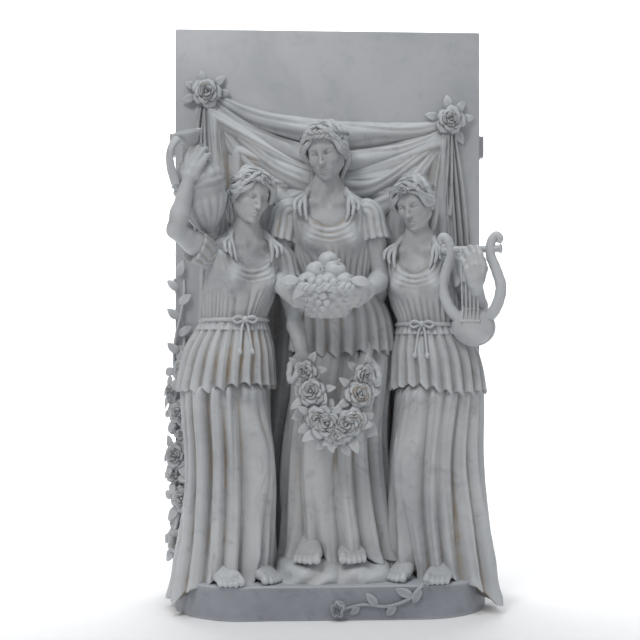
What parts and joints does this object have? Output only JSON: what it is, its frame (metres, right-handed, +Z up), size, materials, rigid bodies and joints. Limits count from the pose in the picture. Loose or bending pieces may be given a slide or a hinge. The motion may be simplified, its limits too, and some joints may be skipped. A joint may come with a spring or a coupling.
{
  "type": "marble relief plaque",
  "caption": "Tall marble slab on a ledge with rounded ends, carved in high relief with draped maidens, a jug, a fruit basket, a lyre, a rose garland and hung cloth.",
  "frame": {"origin": "On the underside, in the middle of the slab's width and of the block's depth.", "axes": "+Z up along the slab's height, +X to the viewer's right along its width, +Y from the carved front to the flat back, so the figures face -Y."},
  "size_m": [1.1439, 0.5299, 2.008],
  "materials": {
    "marble": "satin, hand finished"
  },
  "bodies": {
    "root": {"marble_relief": "marble"}
  },
  "joints": []
}
